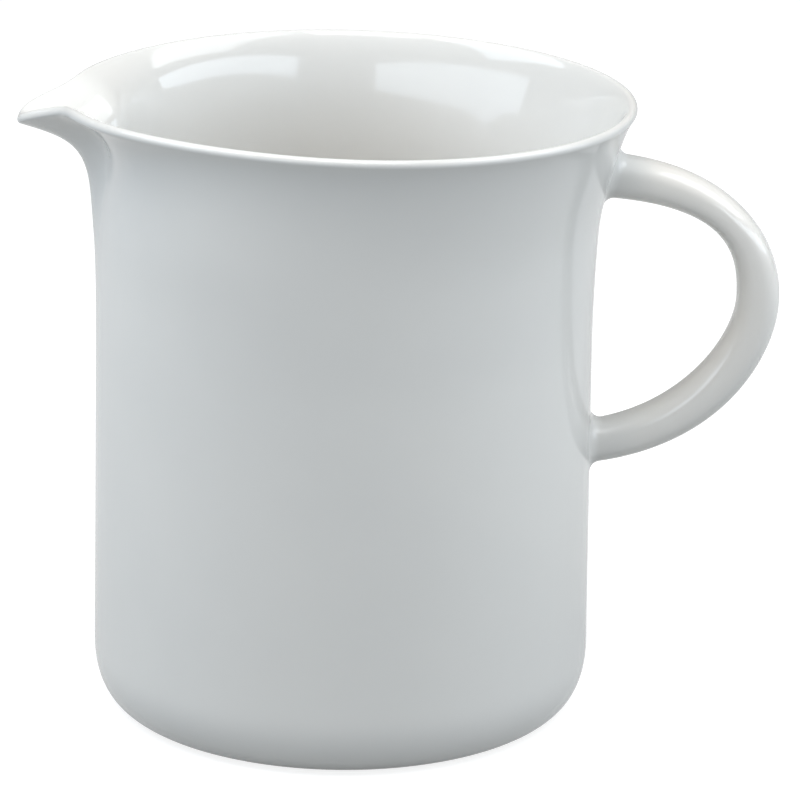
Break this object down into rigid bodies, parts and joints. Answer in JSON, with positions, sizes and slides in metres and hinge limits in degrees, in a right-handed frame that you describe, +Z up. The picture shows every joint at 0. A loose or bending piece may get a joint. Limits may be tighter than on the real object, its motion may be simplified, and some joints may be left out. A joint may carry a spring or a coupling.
{
  "type": "milk jug",
  "caption": "Small glazed porcelain milk jug with a rounded base, flared rim, drooping pouring spout and loop handle, open at the top for filling and pouring.",
  "frame": {"origin": "centre of the foot ring, on the body's axis, in the plane the jug stands on", "axes": "+Z up along the body's axis, +X from the axis towards the handle, so the spout points to -X"},
  "size_m": [0.1373, 0.099, 0.1143],
  "materials": {
    "glaze": "white gloss glaze over porcelain, bare matt foot ring underneath"
  },
  "bodies": {
    "root": {"jug": "glaze"}
  },
  "joints": []
}
